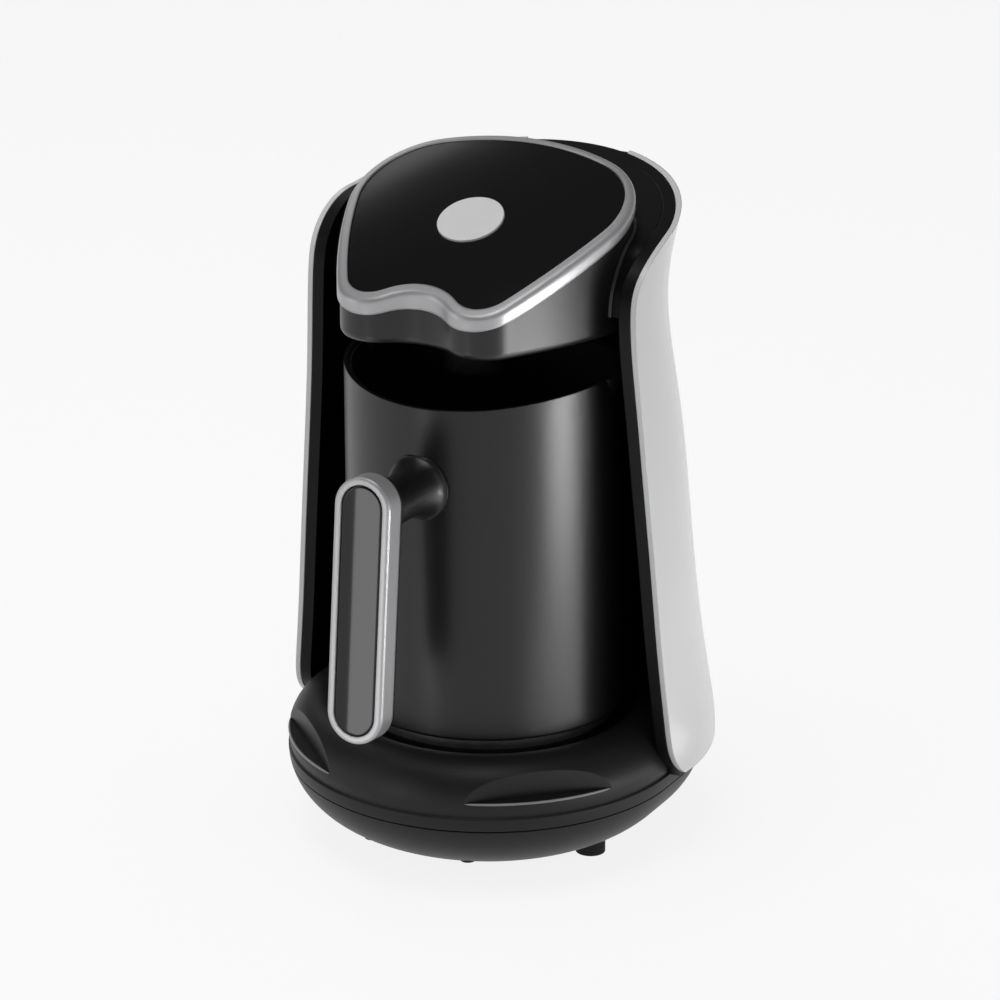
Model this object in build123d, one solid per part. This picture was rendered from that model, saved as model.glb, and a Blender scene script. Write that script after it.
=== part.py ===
from build123d import *
import os
from math import atan, cos, radians, sin, sqrt, tan

# One-pot electric coffee machine, in millimetres, +Z up, front towards -Y.
# Every piece is built around the pot's axis and shifted at the end, so that
# the origin lies on the table under the middle of the whole machine.

# Shared fits, walls and fasteners
wall = 2.4                  # moulded wall of the casings
joint_gap = 0.2             # clearance between pieces that meet
running_gap = 0.35          # clearance round anything that moves
overrun = 6.0               # how far a cutting shape passes a face
screw_radius = 1.5
screw_head_radius = 2.9
screw_head_height = 1.8
post_radius = 4.2           # screw posts and pillars

# Pot: its radius and height set the pieces round it
pot_radius = 52.0
pot_height = 124.5          # from its bottom to its rim at the handle
pot_rim_rise = 5.4          # the rim climbs to the pouring lips
pot_stand = 3.1             # its bottom above the rim of the recess
pot_wall = 1.8
pot_liner_wall = 0.8
pot_base_thickness = 3.0
pot_foot_round = 1.4
liner_rim_drop = 0.8
lip_inset = 6.0             # the pouring lips are cones that open upwards
lip_depth = 18.0
lip_height = 34.0
lip_top_radius = 13.0

# Handle
handle_width = 22.0
handle_length = 96.4
handle_reach = 34.0         # from the pot's wall to the back of the ring
handle_drop = 62.8          # its middle below the rim
handle_lean = 5.5
handle_ring_width = 2.7
handle_ring_depth = 8.2
handle_back_depth = 3.0
handle_back_inset = 1.2
handle_edge_round = 1.0
handle_insert_depth = 3.0
stem_drop = 29.4            # its axis below the rim
stem_radius = 8.2
stem_flare_radius = 12.3    # where it opens onto the pot
stem_flare_length = 15.0
handle_screw_radius = 2.0
handle_screw_head_radius = 4.0
handle_screw_head_height = 1.5
handle_screw_length = 16.0

# Base: a flattened ball, two half rounds joined by a short straight
base_stretch = 13.0
pan_bottom_z = 2.6
pan_flat_radius = 38.0      # flat middle of the pan's underside
bowl_rise = 28.4            # from there to the widest line of the ball
seam_drop = 5.1             # joint between pan and deck, below that line
seam_groove = 0.5
band_step = 0.8             # ledge between the bowl and the dome
deck_margin = 3.0           # rim of the recess round the pot
deck_run = 19.6             # the dome, from that rim to the widest line
deck_rise = 17.4
deck_bulge_share = 0.319    # swell of the dome beyond a straight slope
recess_depth = 3.4
foot_radius = 5.5
foot_spigot_radius = 2.5
foot_spigot_length = 3.0
base_screw_length = 16.0
# places on the base, in its radius
foot_place_shares = {
    "front_left": (-0.653, -0.145),
    "front_right": (0.653, -0.145),
    "rear_left": (-0.456, 0.670),
    "rear_right": (0.456, 0.670),
}
base_screw_place_shares = [(-0.268, -0.697), (0.268, -0.697), (-0.724, 0.483), (0.724, 0.483)]

# Finger scoops: flat slices off both sides of the dome's front, each over a ledge
scoop_angle = 43.5          # from the front, about the pot's axis
scoop_depth = 5.6           # the flat behind the widest line
scoop_lift = 5.8            # the ledge above that line

# Body: round sections that lean back at the foot and forward at the waist
foot_overhang = 6.4         # the panels' foot outside the base
bay_room = 8.4              # round the pot at the waist
section_lean = 8.0
# height of the body in even steps, swell from waist to foot, lean
body_section_shares = [
    (0.0, 1.0, 1.0),
    (0.125, 0.89, 0.66),
    (0.25, 0.69, 0.33),
    (0.375, 0.53, 0.14),
    (0.5, 0.37, 0.06),
    (0.625, 0.20, -0.20),
    (0.75, 0.04, -0.66),
    (0.875, 0.0, -0.31),
    (1.0, 0.0, 0.81),
]
panel_thickness = 2.0
liner_thickness = 4.4
wing_lift = 2.0             # the wings' foot above the ball's widest line
wing_tip_y = 2.0
wing_reach = 14.5           # how far the wings come forward of the axis
rim_drop = 8.2              # upper rim of the wings below the top panel, at the axis
rim_tilt = 11.3             # the rim climbs to the back
rim_start_y = 17.0
# height from foot to rim, reach forward
wing_edge_shares = [
    (0.012, 0.08),
    (0.045, 0.40),
    (0.105, 0.53),
    (0.273, 0.64),
    (0.430, 0.72),
    (0.579, 0.80),
    (0.730, 0.90),
    (0.881, 1.0),
    (0.917, 0.95),
    (0.945, 0.80),
    (0.970, 0.50),
    (0.990, 0.09),
    (1.007, -0.46),
]
body_headroom = 12.5        # the body's form runs on above the top panel
roof_lift = 7.9             # ceiling of the pot's bay above the head's floor
# front skin of the roof: height from foot to rim, reach forward
roof_edge_shares = [
    (0.850, 0.49),
    (0.881, 0.48),
    (0.917, 0.42),
    (0.945, 0.29),
    (0.970, 0.12),
    (0.990, -0.10),
    (1.002, -0.42),
]
collar_width = 1.4          # bead on the roof round the head
collar_height = 0.8

# Rear cover over the wiring duct
rear_half_width = 21.0
rear_stand_off = 5.0        # how far the cover's foot stands behind the side panels
rear_waist_stand = 3.0
rear_top_lift = 12.4        # its top above the wings' rim
# height of the cover, depth from waist to foot
rear_profile_shares = [(0.0, 1.0), (0.33, 0.5), (0.62, 0.17), (0.83, 0.0), (1.0, 0.14)]
rear_screw_x = 13.0
rear_screw_lift = 25.0      # lower screws above the cover's foot
rear_screw_drop = 15.7      # upper screws below its top
vent_count = 6
vent_width = 24.0
vent_height = 2.2
vent_pitch = 6.0
vent_lift = 33.0

# Head: a shield with two front lobes, a notch between them and round back corners
panel_tilt = 24.6
head_height = 40.4          # top panel's edge plane above the floor, at the axis
panel_crown = 2.6           # the panel's middle stands above its edge
head_side_room = 5.9        # between the head and the bay's wall
head_length = 40.7          # from the corners' centres to the lobes' centres
lobe_inset = 3.5            # the lobes' centres inside the corners' centres
lobe_radius = 12.0
notch_depth = 6.4
corner_y = 1.4
corner_radius = 26.2
side_radius = 176.0         # swell of the sides between lobe and corner
back_radius = 106.0
bezel_width = 3.8
bezel_height = 3.8
bezel_proud = 0.6
bezel_ledge = 2.0
bezel_round = 2.2           # rounded outer shoulder of the bezel
panel_sheet = 2.4           # the gloss panel's edge thickness
head_inset = 1.0            # skirt behind the bezel's outer edge
head_edge_round = 3.0

# Start button with its switch and the boards in the head
button_radius = 12.1
button_y = -11.5
button_proud = 0.5
button_travel = 1.5
button_flange = 1.4
button_flange_width = 2.0
switch_size = 6.0
switch_height = 4.3
plunger_radius = 1.7
plunger_height = 3.2
board_thickness = 1.6
control_board_width = 52.0
control_board_length = 44.0
buzzer_radius = 6.0
buzzer_height = 5.0

# Level sensor hanging under the head
sensor_y = -7.0
sensor_radius = 12.5
sensor_depth = 19.7
sensor_gap = 1.4            # above the pot's rim
sensor_window_radius = 6.0
sensor_window_thickness = 1.5
sensor_board_size = 12.0
sensor_edge_round = 2.5
sensor_passage_radius = 7.0

# Heater and power supply
plate_inset = 4.0           # the plate's edge inside the pot's
plate_thickness = 4.4
plate_lip = 5.0             # the plate's edge outside its boss
plate_boss_height = 5.0
element_inset = 10.0        # the element's middle inside the boss
element_radius = 4.0
element_gap_angle = 50.0
seal_width = 3.2
thermostat_radius = 9.0
thermostat_height = 7.0
thermostat_neck_radius = 5.0
fuse_radius = 2.0
fuse_length = 16.0
fuse_inset = 13.0           # inside the element's middle
power_board_width = 44.0
power_board_length = 26.0
power_board_y = 25.0
board_stand = 4.0           # posts under the power board
relay_width = 15.0
relay_length = 19.0
relay_height = 15.0
terminal_width = 22.0
terminal_length = 10.0
terminal_height = 9.0
terminal_y = -16.0
gland_bore_radius = 3.7
gland_radius = 6.0
gland_flange_radius = 8.0
gland_length = 16.0
gland_lift = 14.4           # its axis above the pan's underside

# Wiring from the base to the head, inside the duct
wire_radius = 1.5
wire_hole_radius = 3.0
wire_start = 6.0            # where it leaves the power board, from the board's middle
wire_run_drop = 1.9         # where it crosses the base, below the seam
wire_inset = 1.0            # where it leaves the base, inside the deck's rim
wire_low_lift = 11.6        # where it enters the duct, above the deck
wire_high_lift = 16.9       # where it enters the head, above the head's floor
wire_head_y = 4.0           # where it meets the control board
wire_bend = 5.0
wire_duct_shares = [0.0, 0.26, 0.64, 0.92, 1.0]

# Heights that follow from the ones above, from the table up
floor_z = pan_bottom_z + wall
board_z = floor_z + board_stand
gland_z = pan_bottom_z + gland_lift
band_z = pan_bottom_z + bowl_rise
seam_z = band_z - seam_drop
wire_run_z = seam_z - wire_run_drop
scoop_ledge_z = band_z + scoop_lift
wing_foot_z = band_z + wing_lift
deck_edge_z = band_z + deck_rise
recess_floor_z = deck_edge_z - recess_depth
boss_low_z = recess_floor_z - plate_boss_height
wire_low_z = deck_edge_z + wire_low_lift
pot_bottom_z = deck_edge_z + pot_stand
plate_low_z = pot_bottom_z - joint_gap - plate_thickness
pot_rim_z = pot_bottom_z + pot_height
lip_bottom_z = pot_rim_z - lip_depth
stem_z = pot_rim_z - stem_drop
handle_centre_z = pot_rim_z - handle_drop
sensor_bottom_z = pot_rim_z + sensor_gap
head_floor_z = sensor_bottom_z + sensor_depth
roof_z = head_floor_z + roof_lift
wire_high_z = head_floor_z + wire_high_lift
panel_z = head_floor_z + head_height
body_top_z = panel_z + body_headroom
rim_z = panel_z - rim_drop
rear_top_z = rim_z + rear_top_lift
rear_screw_heights = [wing_foot_z + rear_screw_lift, rear_top_z - rear_screw_drop]
vent_low_z = wing_foot_z + vent_lift

# Widths and places that follow, from the pot outwards
lip_axis_x = pot_radius - lip_inset
handle_centre_y = -pot_radius - handle_reach
plate_radius = pot_radius - plate_inset
plate_boss_radius = plate_radius - plate_lip
element_path_radius = plate_boss_radius - element_inset
fuse_x = element_path_radius - fuse_inset
deck_edge_radius = pot_radius + deck_margin
base_radius = deck_edge_radius + deck_run
base_back_y = base_stretch + base_radius
scoop_reach = base_radius - scoop_depth
foot_places = {name: (base_radius * x, base_radius * y) for name, (x, y) in foot_place_shares.items()}
base_screw_places = [(base_radius * x, base_radius * y) for x, y in base_screw_place_shares]
liner_inset = panel_thickness + joint_gap
bay_inset = liner_inset + liner_thickness
body_waist_radius = pot_radius + bay_room + bay_inset
body_foot_radius = base_radius + foot_overhang
rear_waist_y = body_waist_radius + rear_waist_stand
rear_foot_y = section_lean + body_foot_radius + rear_stand_off
wire_start_y = power_board_y + wire_start
wire_y = base_stretch + deck_edge_radius - wire_inset
corner_x = body_waist_radius - bay_inset - head_side_room - bezel_width - corner_radius
lobe_x = corner_x - lobe_inset
lobe_y = corner_y - head_length
notch_y = lobe_y - lobe_radius + notch_depth
far = base_back_y + body_foot_radius
front_reach_y = handle_length / 2 * sin(radians(handle_lean)) - handle_centre_y
front_reach_y += handle_ring_depth * cos(radians(handle_lean))
front_reach_y -= handle_width / 2 * sin(radians(handle_lean))
datum_y = (front_reach_y - rear_foot_y) / 2


def front_face(*edges):
    return Plane.XZ * make_face(list(edges))


def side_face(*edges):
    return Plane.YZ * make_face(list(edges))


def disc(x, y, z, radius, height):
    return Pos(x, y, z) * extrude(Circle(radius), amount=height)


def block(x, y, z, width, length, height):
    return Pos(x, y, z) * extrude(Rectangle(width, length), amount=height)


def rod(start, end, radius):
    along = Vector(end) - Vector(start)
    return Plane(origin=start, z_dir=along) * extrude(Circle(radius), amount=along.length)


def layer(low_z, high_z):
    return block(0, 0, low_z, 2 * far, 2 * far, high_z - low_z)


def at_share(shares, share, column):
    low = shares[0]
    for high in shares[1:]:
        if share <= high[0]:
            break
        low = high
    part = (share - low[0]) / (high[0] - low[0])
    return low[column] + part * (high[column] - low[column])


# Base

def stadium(profile):
    front = revolve(profile, Axis((0, 0, 0), (0, 0, -1)), 180)
    back = Pos(0, base_stretch, 0) * revolve(profile, Axis.Z, 180)
    full = profile + mirror(profile, Plane.YZ)
    return front + extrude(full, amount=base_stretch, dir=(0, 1, 0)) + back


def ball_form(inset):
    low = pan_bottom_z + inset
    rim = base_radius - inset
    shelf = rim - band_step
    shelf_z = band_z + band_step
    edge = deck_edge_radius - inset
    edge_z = deck_edge_z - inset
    run = shelf - edge
    rise = edge_z - shelf_z
    middle_r = (shelf + edge) / 2 + deck_bulge_share * rise
    middle_z = (shelf_z + edge_z) / 2 + deck_bulge_share * run
    run = rim - pan_flat_radius
    bowl = EllipticalCenterArc((pan_flat_radius, band_z), run, band_z - low, 270, arc_size=90)
    return stadium(front_face(
        Line((0, low), (pan_flat_radius, low)),
        bowl,
        Line((rim, band_z), (shelf, shelf_z)),
        ThreePointArc((shelf, shelf_z), (middle_r, middle_z), (edge, edge_z)),
        Line((edge, edge_z), (0, edge_z)),
        Line((0, edge_z), (0, low)),
    ))


def scoop(side, grow):
    slice_block = block(0, -far, scoop_ledge_z - grow, 2 * far, 2 * (far - scoop_reach + grow), far)
    return Rot(0, 0, side * scoop_angle) * slice_block


def base_pan():
    pan = (ball_form(0) - ball_form(wall)) & layer(0, seam_z)
    for x, y in foot_places.values():
        pan -= disc(x, y, 0, foot_spigot_radius + joint_gap, seam_z)
    for x, y in base_screw_places:
        pan += disc(x, y, 0, post_radius, screw_seat(x, y) + 2 * wall - joint_gap) & ball_form(0)
        pan -= disc(x, y, 0, screw_radius + joint_gap, seam_z)
        pan -= disc(x, y, 0, screw_head_radius + joint_gap, screw_seat(x, y))
    for x in (post_radius - power_board_width / 2, power_board_width / 2 - post_radius):
        for y in (post_radius - power_board_length / 2, power_board_length / 2 - post_radius):
            pan += disc(x, power_board_y + y, pan_bottom_z, post_radius, board_z - pan_bottom_z)
    return pan - rod((0, base_stretch, gland_z), (0, far, gland_z), gland_radius)


def pan_height(x, y):
    back = max(0, y - base_stretch)
    reach = sqrt(x**2 + (y if y < 0 else back)**2)
    span = (reach - pan_flat_radius) / (base_radius - pan_flat_radius)
    return band_z - (band_z - pan_bottom_z) * sqrt(1 - max(0, span)**2)


def screw_seat(x, y):
    return pan_height(x, y) + wall


def foot(x, y):
    shoe = disc(x, y, 0, foot_radius, seam_z) - ball_form(0)
    low = pan_bottom_z / 2
    return shoe + disc(x, y, low, foot_spigot_radius, pan_height(x, y) + wall + foot_spigot_length - low)


def base_screws():
    screws = Part()
    for x, y in base_screw_places:
        seat = screw_seat(x, y)
        screws += disc(x, y, seat - screw_head_height, screw_head_radius, screw_head_height)
        screws += disc(x, y, seat - screw_head_height / 2, screw_radius, base_screw_length)
    return screws


def base_deck():
    pocket = disc(0, 0, recess_floor_z, deck_edge_radius, recess_depth + overrun)
    cavity = ball_form(wall)
    cavity -= disc(0, 0, recess_floor_z - wall, deck_edge_radius + wall, recess_depth + overrun)
    for side in (-1, 1):
        cavity -= scoop(side, wall)
    deck = (ball_form(0) & layer(seam_z + seam_groove, body_top_z)) - cavity - pocket
    for side in (-1, 1):
        deck -= scoop(side, 0)
    for x, y in base_screw_places:
        low = screw_seat(x, y) + 2 * wall
        post = disc(x, y, low, post_radius, deck_edge_z - low) & ball_form(wall / 2)
        deck += post - pocket
        deck -= disc(x, y, 0, screw_radius + joint_gap / 2, base_screw_length + screw_seat(x, y))
    deck -= disc(0, 0, seam_z, plate_boss_radius + joint_gap, deck_edge_z)
    return deck - disc(0, wire_y, seam_z, wire_hole_radius, deck_edge_z)


# Heater and power supply

def heating_plate():
    return disc(0, 0, plate_low_z, plate_radius, plate_thickness) + disc(
        0, 0, boss_low_z, plate_boss_radius, plate_low_z - boss_low_z
    )


def plate_seal():
    inner = plate_boss_radius + joint_gap
    ring = Circle(inner + seal_width) - Circle(inner)
    return Pos(0, 0, recess_floor_z) * extrude(ring, amount=plate_low_z - recess_floor_z)


def heating_element():
    section = Plane.XZ * (Pos(element_path_radius, boss_low_z - element_radius) * Circle(element_radius))
    return Rot(0, 0, element_gap_angle / 2 - 90) * revolve(section, Axis.Z, 360 - element_gap_angle)


def thermostat():
    can = disc(0, 0, boss_low_z - thermostat_height, thermostat_radius, thermostat_height)
    return can + disc(0, 0, boss_low_z - 2 * thermostat_height, thermostat_neck_radius, thermostat_height)


def thermal_fuse():
    z = boss_low_z - fuse_radius
    return rod((fuse_x, -fuse_length / 2, z), (fuse_x, fuse_length / 2, z), fuse_radius)


def power_board():
    board = block(0, power_board_y, board_z, power_board_width, power_board_length, board_thickness)
    return board + block(
        -power_board_width / 4, power_board_y, board_z, relay_width, relay_length, relay_height
    )


def terminal_block():
    body = block(0, terminal_y, floor_z, terminal_width, terminal_length, terminal_height)
    for step in (-1, 0, 1):
        x = step * terminal_width / 3
        body -= disc(x, terminal_y, floor_z + terminal_height / 2, screw_radius, terminal_height)
    return body


def cord_gland():
    flange = rod((0, base_back_y - gland_length, gland_z), (0, base_back_y, gland_z), gland_flange_radius)
    flange -= ball_form(-joint_gap)
    inner_y = base_back_y - gland_length
    sleeve = rod((0, inner_y, gland_z), (0, base_back_y, gland_z), gland_radius - joint_gap)
    return sleeve + flange - rod((0, base_stretch, gland_z), (0, far, gland_z), gland_bore_radius)


# Column and wings

def body_section(z, inset):
    share = (z - band_z) / (body_top_z - band_z)
    swell = at_share(body_section_shares, share, 1)
    lean = at_share(body_section_shares, share, 2) * section_lean
    return lean, body_waist_radius + swell * (body_foot_radius - body_waist_radius) - inset


def body_form(inset):
    sections = []
    for height_share, *_ in body_section_shares:
        z = band_z + height_share * (body_top_z - band_z)
        lean, radius = body_section(z, inset)
        sections.append(Pos(0, lean, z) * Rot(0, 0, -90) * Circle(radius))
    return loft(sections)


def rim_height(y):
    return rim_z + y * tan(radians(rim_tilt))


def edge_points(shares):
    rise = rim_z - wing_foot_z
    return [(-reach * wing_reach, wing_foot_z + height * rise) for height, reach in shares]


def rim_block(points):
    rim_point = (rim_start_y, rim_height(rim_start_y))
    far_point = (far, rim_height(far))
    low_point = (far, points[0][1])
    face = side_face(
        Spline([*points, rim_point]),
        Line(rim_point, far_point),
        Line(far_point, low_point),
        Line(low_point, points[0]),
    )
    return extrude(face, amount=far, both=True)


def wing_side(foot_z):
    return rim_block([(wing_tip_y, foot_z), *edge_points(wing_edge_shares)])


def roof_side(out):
    return Pos(0, -out, out) * rim_block(edge_points(roof_edge_shares))


def right_side():
    return block(far / 2, 0, 0, far, 2 * far, body_top_z + overrun)


def side_panels():
    skin = (body_form(0) - body_form(panel_thickness)) & wing_side(wing_foot_z) & right_side()
    spine = block(0, far / 2, 0, 2 * (rear_half_width + joint_gap), far, body_top_z + overrun)
    right = skin - spine - ball_form(-joint_gap)
    return mirror(right, Plane.YZ), right


def column_liner():
    half = (body_form(liner_inset) - body_form(bay_inset)) & wing_side(band_z) & right_side()
    half -= ball_form(-joint_gap)
    liner = half + mirror(half, Plane.YZ)
    for z in (wire_low_z, wire_high_z):
        liner -= rod((0, wire_head_y, z), (0, far, z), wire_hole_radius)
    for x in (-rear_screw_x, rear_screw_x):
        for z in rear_screw_heights:
            liner -= rod((x, 0, z), (x, far, z), screw_radius + joint_gap / 2)
    return liner


def bay_roof():
    roof = body_form(bay_inset + joint_gap) & layer(roof_z, body_top_z) & roof_side(0)
    roof -= roof_side(-wall) & layer(roof_z + wall, body_top_z)
    return roof - head_room() - rod((0, wire_head_y, wire_high_z), (0, far, wire_high_z), wire_hole_radius)


def head_collar():
    grow = bezel_width - head_inset
    ring = shield_prism(grow + collar_width, roof_z) - shield_prism(grow + joint_gap, roof_z)
    skin = roof_side(collar_height) - roof_side(joint_gap / 2)
    return ring & skin & body_form(bay_inset + joint_gap) & layer(roof_z, body_top_z)


def tilted(tilt, y, z):
    lift = (0, -sin(radians(tilt)), cos(radians(tilt)))
    return Plane(origin=(0, y, z), x_dir=(1, 0, 0), z_dir=lift)


def panel_height(y):
    return panel_z + y * tan(radians(panel_tilt))


def rear_depth(z):
    share = (z - wing_foot_z) / (rear_top_z - wing_foot_z)
    return rear_waist_y + at_share(rear_profile_shares, share, 1) * (rear_foot_y - rear_waist_y)


def rear_block(half_width, inset):
    points = []
    for height_share, _ in rear_profile_shares:
        z = wing_foot_z + height_share * (rear_top_z - wing_foot_z)
        points.append((rear_depth(z) - inset, z))
    low, high = points[0], points[-1]
    face = side_face(
        Spline(points),
        Line(high, (0, high[1])),
        Line((0, high[1]), (0, low[1])),
        Line((0, low[1]), low),
    )
    return extrude(face, amount=half_width, both=True)


def rear_cover():
    outside = rear_block(rear_half_width, 0)
    hollow = rear_block(rear_half_width - wall, wall) & layer(wing_foot_z + wall, rear_top_z - wall)
    cover = outside - hollow
    for x in (-rear_screw_x, rear_screw_x):
        for z in rear_screw_heights:
            cover += rod((x, 0, z), (x, far, z), post_radius) & outside
            cover -= rod((x, 0, z), (x, far, z), screw_radius + joint_gap / 2)
            seat = rear_depth(z) - screw_head_height - wall
            cover -= rod((x, seat, z), (x, far, z), screw_head_radius + joint_gap)
    for step in range(vent_count):
        slot = Plane.XZ * Pos(0, vent_low_z + step * vent_pitch) * SlotOverall(vent_width, vent_height)
        cover -= extrude(slot, amount=-far)
    return cover - body_form(liner_inset - joint_gap) - ball_form(-joint_gap)


def rear_screws():
    screws = Part()
    for x in (-rear_screw_x, rear_screw_x):
        for z in rear_screw_heights:
            seat = rear_depth(z) - screw_head_height - wall
            lean, radius = body_section(z, bay_inset)
            screws += rod((x, seat, z), (x, seat + screw_head_height, z), screw_head_radius)
            screws += rod((x, lean + radius - wall, z), (x, seat + wall / 2, z), screw_radius)
    return screws


def wiring_harness():
    duct = []
    for share in wire_duct_shares:
        z = wire_low_z + share * (wire_high_z - wire_low_z)
        lean, radius = body_section(z, liner_inset)
        duct.append((0, (lean + radius + rear_depth(z) - wall) / 2, z))
    board_low = (board_drop + board_thickness + wall) / cos(radians(panel_tilt))
    points = [
        (0, wire_start_y, board_z + board_thickness),
        (0, wire_start_y, wire_run_z),
        (0, wire_y, wire_run_z),
        (0, wire_y, wire_low_z),
        *duct,
        (0, wire_head_y, wire_high_z),
        (0, wire_head_y, panel_height(wire_head_y) - board_low),
    ]
    path = FilletPolyline(*points, radius=wire_bend)
    start = Plane(origin=points[0], z_dir=(0, 0, 1))
    return sweep(start * Circle(wire_radius), path)


# Head

def swell_centre(first, first_radius, second, second_radius, radius):
    # centre of a round that holds two others and touches both from outside
    across = second - first
    to_first = radius - first_radius
    to_second = radius - second_radius
    along = (to_first**2 - to_second**2 + across.length**2) / (2 * across.length)
    lead = across.normalized()
    return first + lead * along + Vector(-lead.Y, lead.X) * sqrt(to_first**2 - along**2)


def shield(grow):
    lobe = lobe_radius + grow
    corner = corner_radius + grow
    rise = lobe_y - notch_y
    notch = (lobe_x**2 + rise**2 - lobe_radius**2) / (2 * (lobe_radius - rise))
    notch_centre = Vector(0, notch_y - notch)
    lobe_centre = Vector(lobe_x, lobe_y)
    corner_centre = Vector(corner_x, corner_y)
    left_centre = Vector(-corner_x, corner_y)
    side_centre = swell_centre(lobe_centre, lobe_radius, corner_centre, corner_radius, side_radius)
    back_centre = swell_centre(corner_centre, corner_radius, left_centre, corner_radius, back_radius)
    to_notch = (notch_centre - lobe_centre).normalized()
    to_lobe = (lobe_centre - side_centre).normalized()
    to_corner = (corner_centre - side_centre).normalized()
    to_back = (corner_centre - back_centre).normalized()
    notch_end = lobe_centre + to_notch * lobe
    side_low = lobe_centre + to_lobe * lobe
    side_mid = side_centre + (to_lobe + to_corner).normalized() * (side_radius + grow)
    side_high = corner_centre + to_corner * corner
    back_end = corner_centre + to_back * corner
    half = [
        ThreePointArc(notch_end, lobe_centre + (to_notch + to_lobe).normalized() * lobe, side_low),
        ThreePointArc(side_low, side_mid, side_high),
        ThreePointArc(side_high, corner_centre + (to_corner + to_back).normalized() * corner, back_end),
    ]
    back_mid = back_centre + Vector(0, back_radius + grow)
    ends = [
        ThreePointArc(notch_end, notch_centre + Vector(0, notch - grow), Vector(-notch_end.X, notch_end.Y)),
        ThreePointArc(back_end, back_mid, Vector(-back_end.X, back_end.Y)),
    ]
    return make_face(half + [mirror(edge, Plane.YZ) for edge in half] + ends)


panel_mid_y = (corner_y + corner_radius + lobe_y - lobe_radius) / 2
panel_reach = corner_x + corner_radius + bezel_width
crown_radius = (panel_reach**2 + panel_crown**2) / (2 * panel_crown)
head_top_z = panel_height(corner_y + corner_radius) + bezel_height + panel_crown
button_plane = tilted(panel_tilt, button_y, panel_height(button_y))
button_offset = (button_y - panel_mid_y) / cos(radians(panel_tilt))
button_top = panel_crown - button_offset**2 / (2 * crown_radius) + button_proud
flange_top = -panel_sheet - joint_gap
flange_low = flange_top - button_flange
plunger_low = flange_low - plunger_height
switch_top = plunger_low + plunger_height / 2 - button_travel / 2
board_drop = switch_height - switch_top


def shield_prism(grow, low_z):
    return Pos(0, 0, low_z) * extrude(shield(grow), amount=head_top_z - low_z)


def head_room():
    room = shield_prism(bezel_width - head_inset + joint_gap, head_floor_z)
    return room + (shield_prism(bezel_width + joint_gap, head_floor_z) & above(bezel_height + joint_gap))


def crown(lift):
    plane = tilted(panel_tilt, panel_mid_y, panel_height(panel_mid_y))
    centre = plane.origin + plane.z_dir * (panel_crown - crown_radius + lift)
    return Pos(centre.X, centre.Y, centre.Z) * Sphere(crown_radius)


def above(drop):
    plane = tilted(panel_tilt, panel_mid_y, panel_height(panel_mid_y))
    return plane * Pos(0, 0, -drop) * extrude(Rectangle(2 * far, 2 * far), amount=far)


def button_rod(low, high, radius):
    return button_plane * Pos(0, 0, low) * extrude(Circle(radius), amount=high - low)


def on_board(x, y, z):
    return button_plane * Pos(x, y, z - board_drop)


def bezel():
    ring = shield_prism(bezel_width, head_floor_z) & above(bezel_height) & crown(bezel_proud)
    ring = fillet(ring.faces().filter_by(GeomType.SPHERE)[0].edges(), bezel_round)
    ring -= shield_prism(0, head_floor_z)
    ledge = shield_prism(joint_gap, head_floor_z) - shield_prism(-bezel_ledge, head_floor_z)
    return ring + ((ledge & above(bezel_height)) - above(panel_sheet))


def top_panel():
    sheet = shield_prism(-joint_gap, head_floor_z) & above(panel_sheet) & crown(0)
    return sheet - button_rod(-far, far, button_radius + running_gap)


def start_button():
    cap = button_rod(flange_low, button_top, button_radius)
    return cap + button_rod(flange_low, flange_top, button_radius + button_flange_width)


def switch_plunger():
    return button_rod(plunger_low, flange_low, plunger_radius)


def switch_body():
    body = on_board(0, 0, 0) * extrude(Rectangle(switch_size, switch_size), amount=switch_height)
    return body - button_rod(plunger_low - button_travel - running_gap, 0, plunger_radius + running_gap)


def control_board():
    sheet = extrude(Rectangle(control_board_width, control_board_length), amount=-board_thickness)
    return on_board(0, 0, 0) * sheet


def buzzer():
    x = control_board_width / 2 - buzzer_radius - joint_gap
    y = control_board_length / 2 - buzzer_radius - joint_gap
    return on_board(x, y, 0) * extrude(Circle(buzzer_radius), amount=buzzer_height)


def head_shell():
    grow = bezel_width - head_inset
    outside = shield_prism(grow, head_floor_z) - above(bezel_height)
    outside = fillet(outside.edges().group_by(Axis.Z)[0], head_edge_round)
    shell = outside - shield_prism(grow - wall, head_floor_z + wall)
    over_board = above(board_drop + board_thickness)
    for x in (-control_board_width / 3, control_board_width / 3):
        for y in (button_y - control_board_length / 3, button_y + control_board_length / 3):
            post = disc(x, y, head_floor_z, post_radius, head_top_z - head_floor_z)
            shell += post - over_board
    shell -= disc(0, sensor_y, 0, sensor_passage_radius, head_floor_z + 2 * wall)
    return shell - rod((0, corner_y, wire_high_z), (0, far, wire_high_z), wire_hole_radius)


def sensor_housing():
    depth = head_floor_z - sensor_bottom_z
    cup = disc(0, sensor_y, sensor_bottom_z, sensor_radius, depth)
    cup = fillet(cup.edges().group_by(Axis.Z)[0], sensor_edge_round)
    cup -= disc(0, sensor_y, sensor_bottom_z + wall, sensor_radius - wall, depth)
    return cup - disc(0, sensor_y, 0, sensor_window_radius, head_floor_z)


def sensor_window():
    return disc(0, sensor_y, sensor_bottom_z + wall, sensor_window_radius + wall, sensor_window_thickness)


def sensor_board():
    low = sensor_bottom_z + wall + sensor_window_thickness
    return block(0, sensor_y, low, sensor_board_size, sensor_board_size, board_thickness)


# Pot and handle

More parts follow.
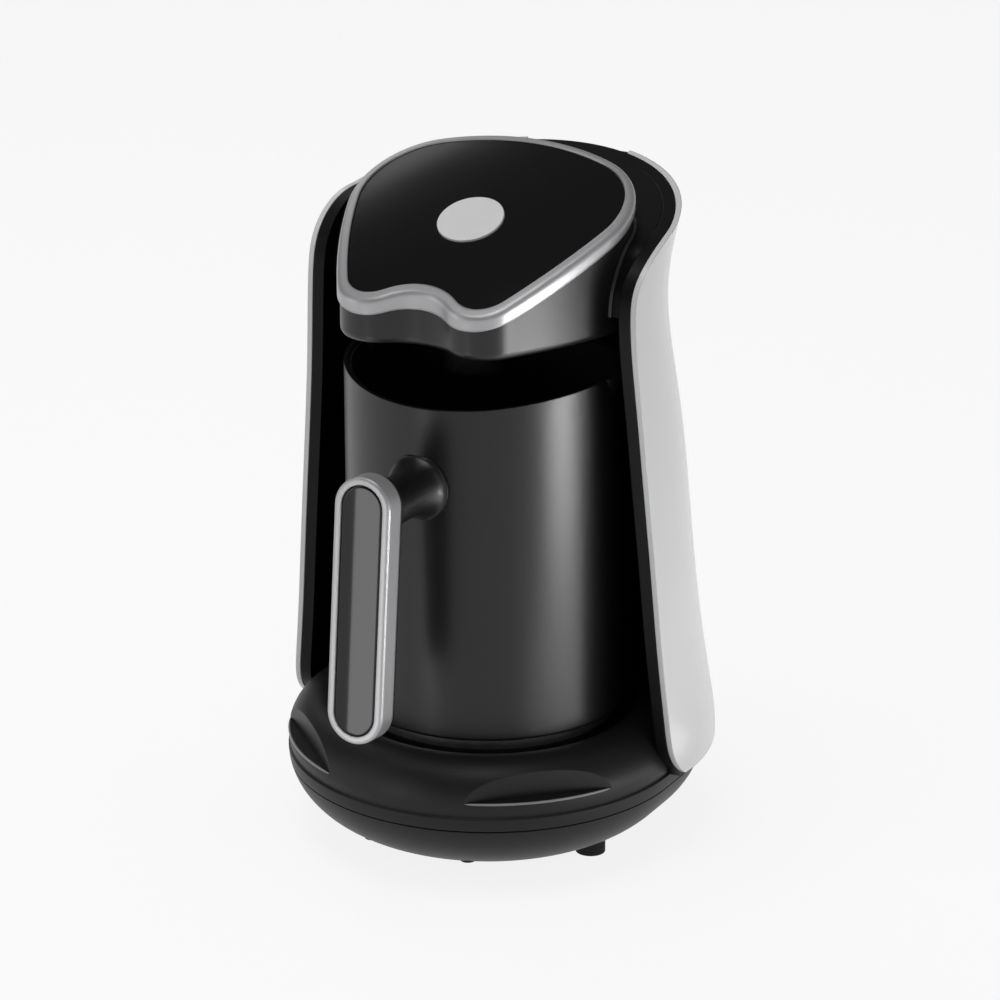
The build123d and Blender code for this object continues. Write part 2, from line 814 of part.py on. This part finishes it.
def pot_form(inset, low_z, rim_drop):
    form = disc(0, 0, low_z, pot_radius - inset, lip_bottom_z + lip_height - low_z)
    opening = atan(lip_top_radius / lip_height)
    for side in (-1, 1):
        cone = Cone(0, lip_top_radius, lip_height, align=(Align.CENTER, Align.CENTER, Align.MIN))
        form += Pos(side * lip_axis_x, 0, lip_bottom_z + inset / sin(opening)) * cone
    sag_radius = (pot_radius**2 + pot_rim_rise**2) / (2 * pot_rim_rise)
    hollow = Plane.XZ * Pos(0, pot_rim_z - rim_drop + sag_radius) * Circle(sag_radius)
    return form - extrude(hollow, amount=far, both=True)


def handle_hole(radius):
    return rod((0, 0, stem_z), (0, handle_centre_y, stem_z), radius)


def pot_body():
    shell = pot_form(0, pot_bottom_z, 0)
    shell = fillet(shell.edges().group_by(Axis.Z)[0], pot_foot_round)
    shell -= pot_form(pot_wall, pot_bottom_z - overrun, -overrun)
    return shell - handle_hole(handle_screw_radius + joint_gap)


def pot_base():
    return disc(0, 0, pot_bottom_z, pot_radius - pot_wall - joint_gap, pot_base_thickness)


def pot_liner():
    inset = pot_wall + joint_gap
    low = pot_bottom_z + pot_base_thickness
    cup = pot_form(inset, low, liner_rim_drop)
    cup -= pot_form(inset + pot_liner_wall, low + pot_liner_wall, -overrun)
    return cup - handle_hole(handle_screw_radius + joint_gap)


handle_plane = Plane(
    origin=(0, handle_centre_y, handle_centre_z),
    x_dir=(1, 0, 0),
    z_dir=(0, -cos(radians(handle_lean)), sin(radians(handle_lean))),
)


def handle_slot(inset, low, high):
    slot = SlotOverall(handle_length - 2 * inset, handle_width - 2 * inset, rotation=90)
    return handle_plane * Pos(0, 0, low) * extrude(slot, amount=high - low)


def front_edges(piece):
    return piece.faces().sort_by(Axis(handle_plane.origin, handle_plane.z_dir))[-1].edges()


def handle_trim():
    ring = handle_slot(0, 0, handle_ring_depth)
    ring = fillet(front_edges(ring), handle_edge_round)
    return ring - handle_slot(handle_ring_width, -overrun, handle_ring_depth + overrun)


def handle_insert():
    inset = handle_ring_width + joint_gap / 2
    high = handle_ring_depth - joint_gap
    pad = handle_slot(inset, high - handle_insert_depth, high)
    return fillet(front_edges(pad), handle_edge_round)


def stem(reach):
    flare_end = pot_radius + stem_flare_length
    trumpet = EllipticalCenterArc(
        (stem_flare_radius, flare_end), stem_flare_radius - stem_radius, stem_flare_length, 180, arc_size=90
    )
    profile = make_face([
        trumpet,
        Line((stem_flare_radius, pot_radius), (stem_flare_radius, pot_radius / 2)),
        Line((stem_flare_radius, pot_radius / 2), (0, pot_radius / 2)),
        Line((0, pot_radius / 2), (0, reach)),
        Line((0, reach), (stem_radius, reach)),
        Line((stem_radius, reach), (stem_radius, flare_end)),
    ])
    return Plane(origin=(0, 0, stem_z), x_dir=(1, 0, 0), z_dir=(0, 0, -1)) * revolve(profile, Axis.Y)


def handle_core():
    high = handle_ring_depth - joint_gap - handle_insert_depth
    core = handle_slot(handle_back_inset, -handle_back_depth, 0)
    core += handle_slot(handle_ring_width + joint_gap / 2, -handle_back_depth, high)
    stem_end = handle_centre_y + (stem_z - handle_centre_z) * tan(radians(handle_lean))
    core += stem(-stem_end)
    core -= disc(0, 0, pot_bottom_z, pot_radius + joint_gap / 2, pot_rim_z - pot_bottom_z)
    return core - rod((0, 0, stem_z), (0, -pot_radius - handle_screw_length, stem_z), handle_screw_radius)


def handle_screw():
    seat = -pot_radius + pot_wall + joint_gap + pot_liner_wall + handle_screw_head_height
    head = rod((0, seat + handle_screw_head_height, stem_z), (0, seat, stem_z), handle_screw_head_radius)
    tip = -pot_radius - handle_screw_length
    return head + rod((0, seat, stem_z), (0, tip, stem_z), handle_screw_radius - joint_gap / 4)


panel_left, panel_right = side_panels()
pieces = {
    "base_pan": base_pan(),
    "base_deck": base_deck(),
    "base_screws": base_screws(),
    "heating_plate": heating_plate(),
    "plate_seal": plate_seal(),
    "heating_element": heating_element(),
    "thermostat": thermostat(),
    "thermal_fuse": thermal_fuse(),
    "power_board": power_board(),
    "terminal_block": terminal_block(),
    "cord_gland": cord_gland(),
    "column_liner": column_liner(),
    "bay_roof": bay_roof(),
    "side_panel_left": panel_left,
    "side_panel_right": panel_right,
    "rear_cover": rear_cover(),
    "rear_screws": rear_screws(),
    "head_collar": head_collar(),
    "wiring_harness": wiring_harness(),
    "head_shell": head_shell(),
    "bezel": bezel(),
    "top_panel": top_panel(),
    "start_button": start_button(),
    "switch_plunger": switch_plunger(),
    "switch_body": switch_body(),
    "control_board": control_board(),
    "buzzer": buzzer(),
    "sensor_housing": sensor_housing(),
    "sensor_window": sensor_window(),
    "sensor_board": sensor_board(),
    "pot_body": pot_body(),
    "pot_liner": pot_liner(),
    "pot_base": pot_base(),
    "handle_core": handle_core(),
    "handle_trim": handle_trim(),
    "handle_insert": handle_insert(),
    "handle_screw": handle_screw(),
}
for name, (x, y) in foot_places.items():
    pieces["foot_" + name] = foot(x, y)

os.makedirs("parts", exist_ok=True)
for name, piece in pieces.items():
    export_step(Pos(0, datum_y, 0) * piece, f"parts/{name}.step")
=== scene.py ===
import math

import bpy
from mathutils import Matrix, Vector


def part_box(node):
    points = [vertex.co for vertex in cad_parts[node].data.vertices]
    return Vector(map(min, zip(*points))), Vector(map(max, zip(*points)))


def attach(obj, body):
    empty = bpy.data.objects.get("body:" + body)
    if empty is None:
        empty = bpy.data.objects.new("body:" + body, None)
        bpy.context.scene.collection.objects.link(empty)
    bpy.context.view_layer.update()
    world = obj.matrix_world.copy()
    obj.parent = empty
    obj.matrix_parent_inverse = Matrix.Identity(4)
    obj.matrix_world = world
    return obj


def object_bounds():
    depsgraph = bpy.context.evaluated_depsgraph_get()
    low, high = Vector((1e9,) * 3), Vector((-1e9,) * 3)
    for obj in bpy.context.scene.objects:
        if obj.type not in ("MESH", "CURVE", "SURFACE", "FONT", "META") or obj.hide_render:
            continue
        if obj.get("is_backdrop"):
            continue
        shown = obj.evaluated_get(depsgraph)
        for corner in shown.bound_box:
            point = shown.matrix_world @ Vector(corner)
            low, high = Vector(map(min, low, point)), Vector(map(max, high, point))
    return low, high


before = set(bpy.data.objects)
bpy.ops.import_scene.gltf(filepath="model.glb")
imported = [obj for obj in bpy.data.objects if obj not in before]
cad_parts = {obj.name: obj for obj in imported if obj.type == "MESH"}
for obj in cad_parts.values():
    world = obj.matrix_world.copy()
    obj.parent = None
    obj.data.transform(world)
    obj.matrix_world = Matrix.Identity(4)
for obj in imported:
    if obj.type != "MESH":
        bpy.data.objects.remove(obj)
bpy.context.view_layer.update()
print("frame loaded,", len(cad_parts), "nodes")

potAxis = Vector((0, 0.001864, 0))  # the pot's upright axis; the pieces below are placed from it


# Shader maths

edgeSamples = 4  # rays that round an edge


class Wire:
    # an output socket; arithmetic on it adds Math nodes
    def __init__(self, finish, socket):
        self.finish = finish
        self.socket = socket

    def maths(self, operation, *values):
        return self.finish.add("ShaderNodeMath", {"operation": operation}, dict(enumerate(values)))

    def __add__(self, other):
        return self.maths("ADD", self, other)

    def __radd__(self, other):
        return self.maths("ADD", other, self)

    def __sub__(self, other):
        return self.maths("SUBTRACT", self, other)

    def __rsub__(self, other):
        return self.maths("SUBTRACT", other, self)

    def __mul__(self, other):
        return self.maths("MULTIPLY", self, other)

    def __rmul__(self, other):
        return self.maths("MULTIPLY", other, self)

    def larger(self, other):
        return self.maths("MAXIMUM", self, other)

    def wave(self):
        return self.maths("SINE", self)


class Finish:
    # one node tree with its closing shader; add() makes any node
    def __init__(self, owner, shader):
        owner.use_nodes = True
        self.owner = owner
        self.tree = owner.node_tree
        self.tree.nodes.clear()
        ending = "World" if isinstance(owner, bpy.types.World) else "Material"
        self.end = self.tree.nodes.new("ShaderNodeOutput" + ending)
        self.shader = self.tree.nodes.new(shader)
        self.tree.links.new(self.shader.outputs[0], self.end.inputs["Surface"])

    def add(self, kind, settings, sockets, output=0):
        node = self.tree.nodes.new(kind)
        for name, value in settings.items():
            if name == "stops":
                for stop, (place, colour) in zip(node.color_ramp.elements, value):
                    stop.position = place
                    stop.color = (*colour, 1)
            else:
                setattr(node, name, value)
        for name, value in sockets.items():
            self.put(node.inputs[name], value)
        return Wire(self, node.outputs[output])

    def put(self, socket, value):
        if isinstance(value, Wire):
            self.tree.links.new(value.socket, socket)
        else:
            socket.default_value = value

    def feed(self, **sockets):
        for name, value in sockets.items():
            self.put(self.shader.inputs[name.replace("_", " ")], value)

    def place(self):
        return self.add("ShaderNodeTexCoord", {}, {}, "Object")

    def noise(self, scale, detail, stretch=(1, 1, 1)):
        at = self.add("ShaderNodeMapping", {}, {"Vector": self.place(), "Scale": stretch})
        return self.add("ShaderNodeTexNoise", {}, {"Vector": at, "Scale": scale, "Detail": detail})

    def blend(self, factor, first, second):
        ends = [end if isinstance(end, Wire) else (*end, 1) for end in (first, second)]
        return self.add("ShaderNodeMix", {"data_type": "RGBA"}, {0: factor, 6: ends[0], 7: ends[1]}, 2)

    def relief(self, height, depth, strength, edge):
        corner = self.add("ShaderNodeBevel", {"samples": edgeSamples}, {"Radius": edge})
        sockets = {"Height": height, "Distance": depth, "Strength": strength, "Normal": corner}
        return self.add("ShaderNodeBump", {}, sockets)

    def seen(self):
        # one on rays from the camera, mirrors and glass
        kinds = ("Is Camera Ray", "Is Glossy Ray", "Is Transmission Ray")
        first, second, third = [self.add("ShaderNodeLightPath", {}, {}, kind) for kind in kinds]
        return first.larger(second).larger(third)


moulded = dict(
    driftScale=14, driftDetail=3, smearScale=60, smearDetail=4, smearStretch=(1, 1, 0.35),
    grainDetail=2, grainStrength=0.5, coatRoughness=0.06, coatLeast=0.85, coatSwing=0.3,
)


def plastic(name, colour, tint, roughness, spread, grainScale, grainDepth, edge, gloss=0.0, level=0.5):
    finish = Finish(bpy.data.materials.new(name), "ShaderNodeBsdfPrincipled")
    finish.feed(Specular_IOR_Level=level)
    drift = finish.noise(moulded["driftScale"], moulded["driftDetail"])
    smear = finish.noise(moulded["smearScale"], moulded["smearDetail"], moulded["smearStretch"])
    grain = finish.noise(grainScale, moulded["grainDetail"])
    finish.feed(
        Base_Color=finish.blend(drift, colour, tint),
        Roughness=roughness + spread * (smear - 0.5),
        Normal=finish.relief(grain, grainDepth, moulded["grainStrength"], edge),
    )
    if gloss:
        finish.feed(
            Coat_Roughness=moulded["coatRoughness"],
            Coat_Weight=gloss * (moulded["coatLeast"] + moulded["coatSwing"] * drift),
        )
    return finish.owner


brushed = dict(
    grainScale=900, grainDetail=3, grainDepth=0.00004, grainStrength=0.4,
    driftScale=20, driftDetail=3, metallicSwing=0.04,
)


def metal(name, colour, tint, metallic, roughness, spread, stretch, edge):
    finish = Finish(bpy.data.materials.new(name), "ShaderNodeBsdfPrincipled")
    grain = finish.noise(brushed["grainScale"], brushed["grainDetail"], stretch)
    drift = finish.noise(brushed["driftScale"], brushed["driftDetail"])
    finish.feed(
        Base_Color=finish.blend(drift, colour, tint),
        Metallic=metallic - brushed["metallicSwing"] * drift,
        Roughness=roughness + spread * (grain - 0.5),
        Normal=finish.relief(grain, brushed["grainDepth"], brushed["grainStrength"], edge),
    )
    return finish.owner


lathed = dict(
    driftScale=260, driftDetail=4, metallicSwing=0.05, ringSwing=0.05, driftSwing=0.08,
    ringDepth=0.00003, ringStrength=0.35,
)


def spun(name, colour, tint, metallic, roughness, centre, pitch, edge):
    # rings left by turning, round the given centre
    finish = Finish(bpy.data.materials.new(name), "ShaderNodeBsdfPrincipled")
    away = finish.add("ShaderNodeVectorMath", {"operation": "DISTANCE"}, {0: finish.place(), 1: centre}, 1)
    rings = (away * (2 * math.pi / pitch)).wave()
    drift = finish.noise(lathed["driftScale"], lathed["driftDetail"])
    height = rings * 0.5 + drift * 0.5
    finish.feed(
        Base_Color=finish.blend(drift, colour, tint),
        Metallic=metallic - lathed["metallicSwing"] * drift,
        Roughness=roughness + lathed["ringSwing"] * rings + lathed["driftSwing"] * (drift - 0.5),
        Normal=finish.relief(height, lathed["ringDepth"], lathed["ringStrength"], edge),
    )
    return finish.owner


# Finishes

plastics = {
    "panelWhite": dict(
        colour=(0.62, 0.62, 0.63), tint=(0.66, 0.66, 0.665), roughness=0.24, spread=0.06,
        grainScale=900, grainDepth=0.00002, edge=0.0007, gloss=0.12),
    "shellBlack": dict(
        colour=(0.004, 0.004, 0.0043), tint=(0.006, 0.006, 0.0064), roughness=0.34, spread=0.10,
        grainScale=1600, grainDepth=0.00002, edge=0.0006, level=0.12),
    # black lifted to dark grey, several times lighter than the other blacks: a painted highlight along the
    # collar bead; the higher specular level and lower roughness are its real sheen
    "collarBlack": dict(
        colour=(0.030, 0.030, 0.031), tint=(0.042, 0.042, 0.043), roughness=0.26, spread=0.06,
        grainScale=1600, grainDepth=0.00002, edge=0.0003, level=0.6),
    "baseSatin": dict(
        colour=(0.008, 0.008, 0.0085), tint=(0.012, 0.012, 0.0125), roughness=0.45, spread=0.08,
        grainScale=2600, grainDepth=0.00005, edge=0.0005, level=0.25),
    "headSatin": dict(
        colour=(0.009, 0.009, 0.0095), tint=(0.013, 0.013, 0.0135), roughness=0.34, spread=0.06,
        grainScale=2600, grainDepth=0.00004, edge=0.0006, level=0.4),
    "potSatin": dict(
        colour=(0.005, 0.005, 0.0053), tint=(0.0075, 0.0075, 0.0079), roughness=0.33, spread=0.05,
        grainScale=3000, grainDepth=0.00004, edge=0.0005, level=0.40),
    "potCoat": dict(
        colour=(0.008, 0.008, 0.0085), tint=(0.012, 0.012, 0.0125), roughness=0.5, spread=0.12,
        grainScale=1800, grainDepth=0.00006, edge=0.0003),
    "panelGloss": dict(
        colour=(0.002, 0.002, 0.0022), tint=(0.003, 0.003, 0.0032), roughness=0.15, spread=0.03,
        grainScale=500, grainDepth=0.000004, edge=0.0004, level=0.4),
    "insertGloss": dict(
        colour=(0.002, 0.002, 0.0022), tint=(0.003, 0.003, 0.0032), roughness=0.04, spread=0.01,
        grainScale=300, grainDepth=0.000002, edge=0.0004, level=0.4),
    "rubberBlack": dict(
        colour=(0.014, 0.014, 0.014), tint=(0.022, 0.022, 0.022), roughness=0.75, spread=0.15,
        grainScale=2200, grainDepth=0.00012, edge=0.0006, level=0.3),
    "boardGreen": dict(
        colour=(0.010, 0.075, 0.030), tint=(0.020, 0.110, 0.045), roughness=0.4, spread=0.15,
        grainScale=700, grainDepth=0.00008, edge=0.0002),
    "innerPlastic": dict(
        colour=(0.05, 0.05, 0.055), tint=(0.08, 0.08, 0.085), roughness=0.5, spread=0.1,
        grainScale=1800, grainDepth=0.00005, edge=0.0003),
    "leadRed": dict(
        colour=(0.045, 0.006, 0.005), tint=(0.060, 0.009, 0.008), roughness=0.45, spread=0.1,
        grainScale=2000, grainDepth=0.00003, edge=0.0002),
    "windowDark": dict(
        colour=(0.030, 0.006, 0.010), tint=(0.042, 0.010, 0.014), roughness=0.08, spread=0.04,
        grainScale=400, grainDepth=0.000004, edge=0.0002),
    # near-black cross on each screw head: painted shade of the cross recess
    "driveDark": dict(
        colour=(0.006, 0.006, 0.0065), tint=(0.012, 0.012, 0.0125), roughness=0.6, spread=0.1,
        grainScale=2400, grainDepth=0.00004, edge=0.0001, level=0.3),
    # light grey that paints the highlight along each scoop lip
    "lipSatin": dict(
        colour=(0.20, 0.20, 0.202), tint=(0.24, 0.24, 0.242), roughness=0.30, spread=0.06,
        grainScale=2600, grainDepth=0.00002, edge=0.0001, level=0.6),
}
metals = {
    "trimSilver": dict(
        colour=(0.38, 0.38, 0.39), tint=(0.43, 0.43, 0.44), metallic=0.55, roughness=0.36, spread=0.10,
        stretch=(1, 1, 1), edge=0.0012),
    "screwSteel": dict(
        colour=(0.45, 0.45, 0.46), tint=(0.52, 0.52, 0.53), metallic=1.0, roughness=0.32, spread=0.14,
        stretch=(1, 1, 6), edge=0.0002),
    "screwBlack": dict(
        colour=(0.012, 0.012, 0.0125), tint=(0.018, 0.018, 0.0185), metallic=0.6, roughness=0.45,
        spread=0.12, stretch=(1, 1, 6), edge=0.0002),
}
made = {name: plastic(name, **values) for name, values in plastics.items()}
made |= {name: metal(name, **values) for name, values in metals.items()}

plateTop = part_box("heating_plate")[1].z
buttonLow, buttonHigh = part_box("start_button")
turned = {
    "plateMetal": dict(
        colour=(0.48, 0.48, 0.49), tint=(0.55, 0.55, 0.56), metallic=1.0, roughness=0.36,
        centre=(potAxis.x, potAxis.y, plateTop), pitch=0.0007, edge=0.0004),
    "buttonSilver": dict(
        colour=(0.66, 0.66, 0.66), tint=(0.70, 0.70, 0.70), metallic=0.15, roughness=0.46,
        centre=(buttonLow + buttonHigh) / 2, pitch=0.0006, edge=0.0006),
}
made |= {name: spun(name, **values) for name, values in turned.items()}
print("finishes made:", len(made))

dressing = {
    "panelWhite": ["side_panel_left", "side_panel_right"],
    "shellBlack": ["column_liner", "bay_roof", "rear_cover", "sensor_housing"],
    "collarBlack": ["head_collar"],
    "baseSatin": ["base_pan", "base_deck", "cord_gland"],
    "headSatin": ["head_shell"],
    "potSatin": ["pot_body", "handle_core"],
    "potCoat": ["pot_liner"],
    "panelGloss": ["top_panel"],
    "insertGloss": ["handle_insert"],
    "trimSilver": ["bezel", "handle_trim"],
    "buttonSilver": ["start_button"],
    "plateMetal": ["heating_plate", "pot_base", "heating_element"],
    "rubberBlack": [
        "foot_front_left", "foot_front_right", "foot_rear_left", "foot_rear_right", "plate_seal"],
    "screwSteel": ["rear_screws", "handle_screw", "thermal_fuse"],
    "screwBlack": ["base_screws"],
    "boardGreen": ["power_board", "control_board", "sensor_board"],
    "innerPlastic": ["terminal_block", "thermostat", "switch_body", "switch_plunger", "buzzer"],
    "leadRed": ["wiring_harness"],
    "windowDark": ["sensor_window"],
}
for name, nodes in dressing.items():
    for node in nodes:
        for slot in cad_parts[node].material_slots:
            slot.material = made[name]
print("nodes dressed:", sum(len(nodes) for nodes in dressing.values()))


# Small pieces on the CAD nodes

def piece(name, points, faces, body, finish):
    mesh = bpy.data.meshes.new(name)
    mesh.from_pydata(points, [], faces)
    mesh.materials.append(made[finish])
    mesh.shade_smooth()
    item = bpy.data.objects.new(name, mesh)
    bpy.context.scene.collection.objects.link(item)
    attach(item, body)


# raised lip along the ledge of each finger scoop; its light grey is a painted highlight on the dark deck
lip = dict(
    angle=43.5, spread=21.5, radius=0.0742, height=0.0370, bead=0.00045,
    taper=8, tip=1.01, steps=64, around=12,
)
lipSides = {"scoopLipRight": 1, "scoopLipLeft": -1}
for name, side in lipSides.items():
    points = []
    for step in range(lip["steps"] + 1):
        share = 2 * step / lip["steps"] - 1
        turn = math.radians(lip["angle"] + share * lip["spread"])
        away = Vector((side * math.sin(turn), -math.cos(turn), 0))
        bead = lip["bead"] * math.sqrt(lip["tip"] - share ** lip["taper"])
        for corner in range(lip["around"]):
            roll = 2 * math.pi * corner / lip["around"]
            reach = away * (lip["radius"] + bead * math.cos(roll))
            points.append(potAxis + reach + Vector((0, 0, lip["height"] + bead * math.sin(roll))))
    ring = lip["around"]
    last = ring * lip["steps"]
    faces = [tuple(range(ring)), tuple(range(last, last + ring))]
    for first in range(0, last, ring):
        for corner in range(ring):
            after = (corner + 1) % ring
            faces.append((first + corner, first + after, first + ring + after, first + ring + corner))
    piece(name, points, faces, "machine", "lipSatin")

# cross drive in each screw's head, set on the head's outer face as a near-black cross: painted shade
# standing for the shaded recess
drive = dict(length=0.0034, width=0.0009, sunk=0.0003, proud=0.00003)
outlook = {
    "base_screws": (Vector((0, 0, -1)), "machine"),
    "rear_screws": (Vector((0, 1, 0)), "machine"),
    "handle_screw": (Vector((0, 1, 0)), "pot"),
}
driveCount = 0
for node, (out, body) in outlook.items():
    middle = sum(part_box(node), Vector()) / 2
    groups = {}  # the four screws of a machine node fall in four quarters
    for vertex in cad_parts[node].data.vertices:
        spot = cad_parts[node].matrix_world @ vertex.co
        lead = [part > mid for part, mid, axis in zip(spot, middle, out) if not axis]
        groups.setdefault(tuple(lead) if body == "machine" else (), []).append(spot)
    for group in groups.values():
        low = Vector(min(column) for column in zip(*group))
        high = Vector(max(column) for column in zip(*group))
        head = (low + high) / 2
        head += out * (max(spot.dot(out) for spot in group) - head.dot(out))
        across = Vector((1, 0, 0))
        upright = out.cross(across)
        far, near = drive["length"] / 2, drive["width"] / 2
        plan = [(near, near), (near, far), (-near, far), (-near, near), (-far, near), (-far, -near)]
        plan += [(-x, -y) for x, y in plan]
        points = [
            head + across * x + upright * y + out * level
            for level in (-drive["sunk"], drive["proud"])
            for x, y in plan
        ]
        count = len(plan)
        faces = [(k, (k + 1) % count, count + (k + 1) % count, count + k) for k in range(count)]
        faces += [tuple(range(count)), tuple(range(count, 2 * count))]
        driveCount += 1
        piece(f"screwDriveShade{driveCount}", points, faces, body, "driveDark")
print("small pieces made:", len(lipSides) + driveCount)


# Studio

studio = dict(
    floorColour=(0.90, 0.90, 0.90), floorSize=9.0, floorDrop=0.0001, floorGlow=0.86,
    fill=0.40, zenith=0.10, horizon=0.95, bandLow=0.05, bandHigh=0.22,
)
world = bpy.data.worlds.new("studio")
bpy.context.scene.world = world
sky = Finish(world, "ShaderNodeBackground")
skyPlace = sky.add("ShaderNodeTexCoord", {}, {}, "Generated")
skyHeight = sky.add("ShaderNodeSeparateXYZ", {}, {0: skyPlace}, "Z")
skyStops = [
    (studio["bandLow"], (studio["horizon"],) * 3),
    (studio["bandHigh"], (studio["zenith"],) * 3),
]
skyRamp = sky.add("ShaderNodeValToRGB", {"stops": skyStops}, {0: skyHeight})
sky.feed(Color=sky.blend(sky.seen(), (studio["fill"],) * 3, skyRamp))

floorMesh = bpy.data.meshes.new("floor")
half = studio["floorSize"] / 2
level = -studio["floorDrop"]
floorCorners = [(-half, -half, level), (half, -half, level), (half, half, level), (-half, half, level)]
floorMesh.from_pydata(floorCorners, [], [(0, 1, 2, 3)])
floor = bpy.data.objects.new("floor", floorMesh)
bpy.context.scene.collection.objects.link(floor)
floorPaint = Finish(bpy.data.materials.new("floorPaint"), "ShaderNodeMixShader")
floorMatt = floorPaint.add("ShaderNodeBsdfDiffuse", {}, {"Color": (*studio["floorColour"], 1)})
floorGlow = floorPaint.add("ShaderNodeEmission", {}, {"Color": (1, 1, 1, 1), "Strength": 1.0})
floorPaint.put(floorPaint.shader.inputs[0], floorPaint.seen() * studio["floorGlow"])
floorPaint.put(floorPaint.shader.inputs[1], floorMatt)
floorPaint.put(floorPaint.shader.inputs[2], floorGlow)
floor.data.materials.append(floorPaint.owner)
floor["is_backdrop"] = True

# a card shows only in glossy surfaces; the table lamps aim a hair off upright, which settles their turn
softboxes = {
    "softboxRight": dict(at=(1.25, -0.30, 0.60), aim=(0, 0, 0.14), size=(0.70, 1.2), power=1.4),
    "softboxLeft": dict(at=(-1.00, -0.85, 0.60), aim=(0, 0, 0.13), size=(0.45, 1.2), power=2.3),
    "softboxTop": dict(at=(-0.10, -0.25, 1.45), aim=(0, 0, 0.15), size=(0.8, 0.6), power=5.6),
    "softboxBack": dict(at=(-0.82, 0.62, 0.92), aim=(0, 0, 0.25), size=(0.45, 0.45), power=0.9),
    "tableNear": dict(at=(0.27, 0.00, 0.003), aim=(0.27, 0.0001, 1), size=(0.24, 0.24), power=0.4),
    "tableFar": dict(
        at=(0.56, -0.03, 0.003), aim=(0.56, -0.0299, 1), size=(0.20, 0.20), power=5,
        card=True),
    "stripHandle": dict(
        at=(-0.050, -0.201, 0.072), aim=(0.007, -0.096, 0.093), size=(0.022, 0.135), power=0.032,
        roll=3, card=True),
}
for name, values in softboxes.items():
    box = dict(roll=0, card=False) | values
    lamp = bpy.data.lights.new(name, "AREA")
    lamp.shape = "RECTANGLE"
    lamp.size, lamp.size_y = box["size"]
    lamp.energy = box["power"]
    stand = bpy.data.objects.new(name, lamp)
    stand.location = box["at"]
    stand.rotation_euler = (Vector(box["aim"]) - stand.location).to_track_quat("-Z", "Y").to_euler()
    stand.rotation_euler.rotate_axis("Z", math.radians(box["roll"]))
    stand.visible_camera = False
    stand.visible_diffuse = not box["card"]
    bpy.context.scene.collection.objects.link(stand)

lens = dict(
    azimuth=28.52, elevation=19.97, distance=1.4, aim=(0.00493, 0.001864, 0.12615), focal=138.16, sensor=36)
azimuth, elevation = math.radians(lens["azimuth"]), math.radians(lens["elevation"])
flat = math.cos(elevation)
back = Vector((math.sin(azimuth) * flat, -math.cos(azimuth) * flat, math.sin(elevation)))
camera = bpy.data.objects.new("camera", bpy.data.cameras.new("camera"))
camera.data.lens = lens["focal"]
camera.data.sensor_width = lens["sensor"]
camera.location = Vector(lens["aim"]) + back * lens["distance"]
camera.rotation_euler = (-back).to_track_quat("-Z", "Y").to_euler()
bpy.context.scene.collection.objects.link(camera)
bpy.context.scene.camera = camera
bpy.context.scene.view_settings.view_transform = "Standard"
bpy.context.scene.cycles.caustics_reflective = False  # no stray glints on the floor
print("studio set")

low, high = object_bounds()
